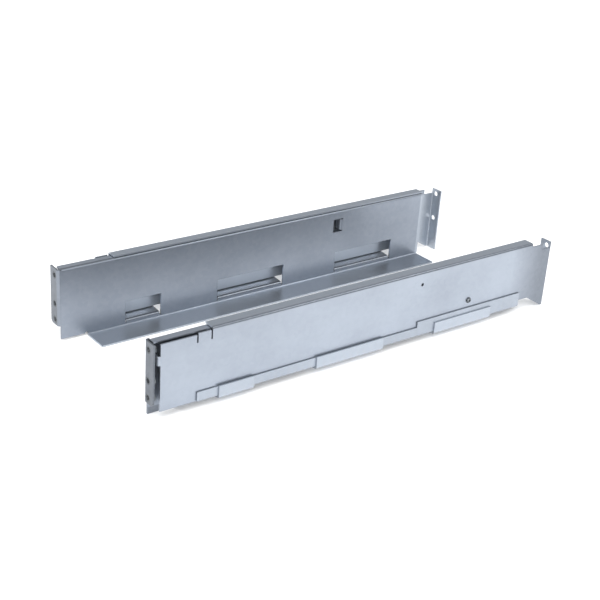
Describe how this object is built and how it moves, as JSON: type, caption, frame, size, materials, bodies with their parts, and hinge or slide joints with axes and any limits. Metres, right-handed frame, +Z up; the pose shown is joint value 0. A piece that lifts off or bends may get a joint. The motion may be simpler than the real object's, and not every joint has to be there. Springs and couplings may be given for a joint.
{
  "type": "pair of rack mounting rails",
  "caption": "Pair of length-adjustable equipment rack rails: folded sheet-metal box sections with a support shelf, hooked telescoping outer rails and drilled post flanges.",
  "frame": {"origin": "centre of the underside of the closed pair's bounding box", "axes": "+X along the rails from the near flange to the far flange, +Y from the right rail to the left rail, +Z up from the shelves"},
  "size_m": [0.47, 0.186, 0.075],
  "materials": {
    "zinc_sheet": "satin",
    "zinc_fastener": "satin"
  },
  "bodies": {
    "inner_rails": {"left_inner_rail": "zinc_sheet", "left_guide_strip": "zinc_sheet", "left_post_nuts": "zinc_fastener", "right_inner_rail": "zinc_sheet", "right_guide_strip": "zinc_sheet", "right_post_nuts": "zinc_fastener"},
    "left_outer": {"left_outer_rail": "zinc_sheet", "left_lock_nut": "zinc_fastener", "left_lock_washer": "zinc_fastener", "left_lock_screw": "zinc_fastener"},
    "right_outer": {"right_outer_rail": "zinc_sheet", "right_lock_nut": "zinc_fastener", "right_lock_washer": "zinc_fastener", "right_lock_screw": "zinc_fastener"}
  },
  "joints": [
    {"name": "left_slide", "type": "slide", "parent": "inner_rails", "child": "left_outer", "axis": [1, 0, 0], "range_m": [0, 0.3195]},
    {"name": "right_slide", "type": "slide", "parent": "inner_rails", "child": "right_outer", "axis": [1, 0, 0], "range_m": [0, 0.3195]}
  ]
}
